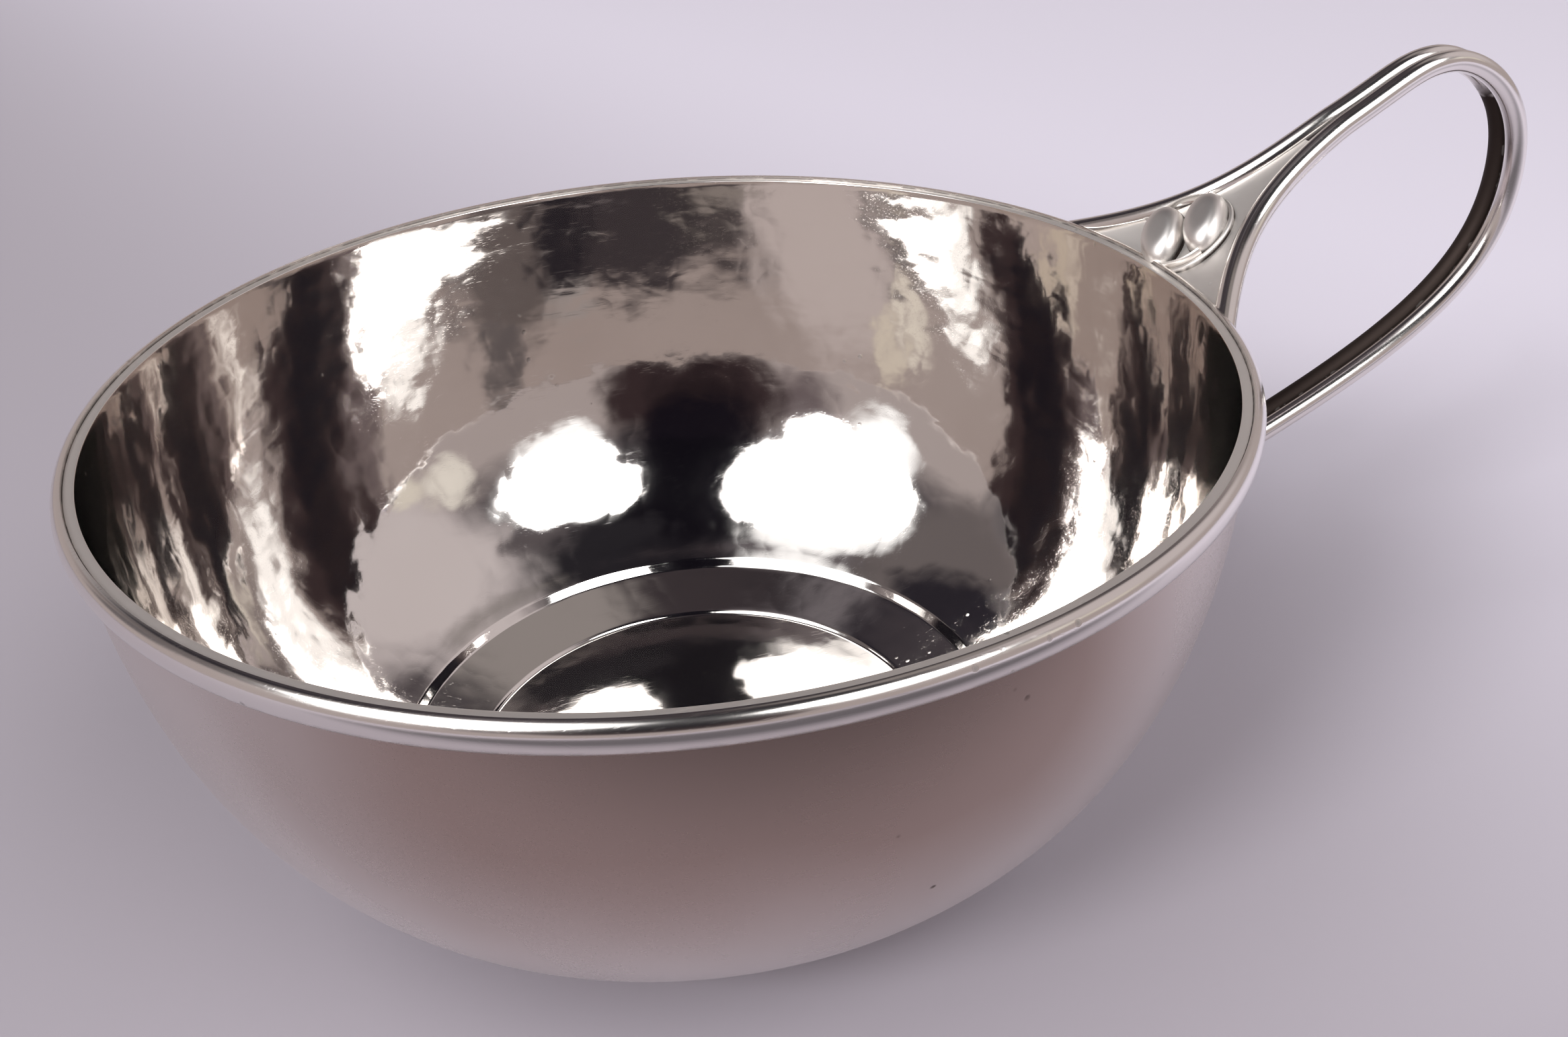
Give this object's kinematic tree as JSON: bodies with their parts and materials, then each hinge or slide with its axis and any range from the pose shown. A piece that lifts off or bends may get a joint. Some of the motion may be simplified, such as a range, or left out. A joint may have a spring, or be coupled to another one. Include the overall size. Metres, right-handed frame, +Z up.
{
  "type": "porringer",
  "caption": "Small round bowl of raised metal with a wire rim and one looped handle of paired wire, used as a porringer to eat or drink from.",
  "frame": {"origin": "centre of the flat base, on the surface that the bowl stands on", "axes": "+Z up along the bowl's axis, +X from the axis out along the handle, +Y to the left of the handle seen from above with the handle pointing away"},
  "size_m": [0.1658, 0.1186, 0.074],
  "materials": {
    "bowl_silver": "planished silver, polished inside, satin with fine scratches and tarnish pits outside (chrome stands in for silver)",
    "wire_silver": "polished silver wire, lightly worn (chrome stands in for silver)",
    "plate_silver": "satin silver sheet (chrome stands in for silver)",
    "boss_silver": "polished silver, dark in the grooves (chrome stands in for silver)"
  },
  "bodies": {
    "root": {"bowl": "bowl_silver", "rim_wire": "wire_silver", "handle_wire_left": "wire_silver", "handle_wire_right": "wire_silver", "handle_plate": "plate_silver", "boss_collar": "boss_silver", "boss_lobe_inner": "boss_silver", "boss_lobe_outer": "boss_silver"}
  },
  "joints": []
}
